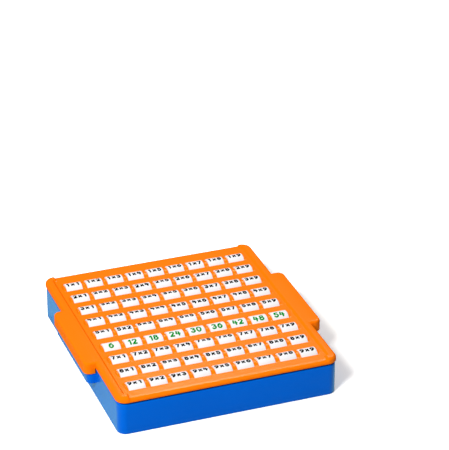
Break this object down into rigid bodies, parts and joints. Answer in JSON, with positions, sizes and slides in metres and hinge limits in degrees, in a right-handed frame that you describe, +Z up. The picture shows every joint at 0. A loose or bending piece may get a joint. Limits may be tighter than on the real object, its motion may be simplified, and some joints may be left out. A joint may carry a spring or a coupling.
{
  "type": "multiplication board",
  "caption": "Square tray-shaped learning board with a grid of turning dials in a windowed cover and a handle on each side.",
  "frame": {"origin": "middle of the underside, on the surface the board lies on", "axes": "+X along a row of dials, from the left handle to the right one, +Y from the front edge to the back, +Z up"},
  "size_m": [0.292, 0.2964, 0.0502],
  "materials": {
    "orange_plastic": "satin",
    "blue_plastic": "gloss",
    "white_plastic": "satin",
    "rod_steel": "drawn"
  },
  "bodies": {
    "board": {"top_cover": "orange_plastic", "base_tray": "blue_plastic", "axle_rod_1": "rod_steel", "axle_rod_2": "rod_steel", "axle_rod_3": "rod_steel", "axle_rod_4": "rod_steel", "axle_rod_5": "rod_steel", "axle_rod_6": "rod_steel", "axle_rod_7": "rod_steel", "axle_rod_8": "rod_steel", "axle_rod_9": "rod_steel"},
    "dials_1": {"dial_row_1": "white_plastic"},
    "dials_2": {"dial_row_2": "white_plastic"},
    "dials_3": {"dial_row_3": "white_plastic"},
    "dials_4": {"dial_row_4": "white_plastic"},
    "dials_5": {"dial_row_5": "white_plastic"},
    "dials_6": {"dial_row_6": "white_plastic"},
    "dials_7": {"dial_row_7": "white_plastic"},
    "dials_8": {"dial_row_8": "white_plastic"},
    "dials_9": {"dial_row_9": "white_plastic"}
  },
  "joints": [
    {"name": "turn_row_1", "type": "hinge", "parent": "board", "child": "dials_1", "pos_m": [0, 0.11825, 0.0385], "axis": [1, 0, 0], "continuous": true},
    {"name": "turn_row_2", "type": "hinge", "parent": "board", "child": "dials_2", "pos_m": [0, 0.08825, 0.0385], "axis": [1, 0, 0], "continuous": true},
    {"name": "turn_row_3", "type": "hinge", "parent": "board", "child": "dials_3", "pos_m": [0, 0.05825, 0.0385], "axis": [1, 0, 0], "continuous": true},
    {"name": "turn_row_4", "type": "hinge", "parent": "board", "child": "dials_4", "pos_m": [0, 0.02825, 0.0385], "axis": [1, 0, 0], "continuous": true},
    {"name": "turn_row_5", "type": "hinge", "parent": "board", "child": "dials_5", "pos_m": [0, -0.00175, 0.0385], "axis": [1, 0, 0], "continuous": true},
    {"name": "turn_row_6", "type": "hinge", "parent": "board", "child": "dials_6", "pos_m": [0, -0.03175, 0.0385], "axis": [1, 0, 0], "continuous": true},
    {"name": "turn_row_7", "type": "hinge", "parent": "board", "child": "dials_7", "pos_m": [0, -0.06175, 0.0385], "axis": [1, 0, 0], "continuous": true},
    {"name": "turn_row_8", "type": "hinge", "parent": "board", "child": "dials_8", "pos_m": [0, -0.09175, 0.0385], "axis": [1, 0, 0], "continuous": true},
    {"name": "turn_row_9", "type": "hinge", "parent": "board", "child": "dials_9", "pos_m": [0, -0.12175, 0.0385], "axis": [1, 0, 0], "continuous": true}
  ]
}
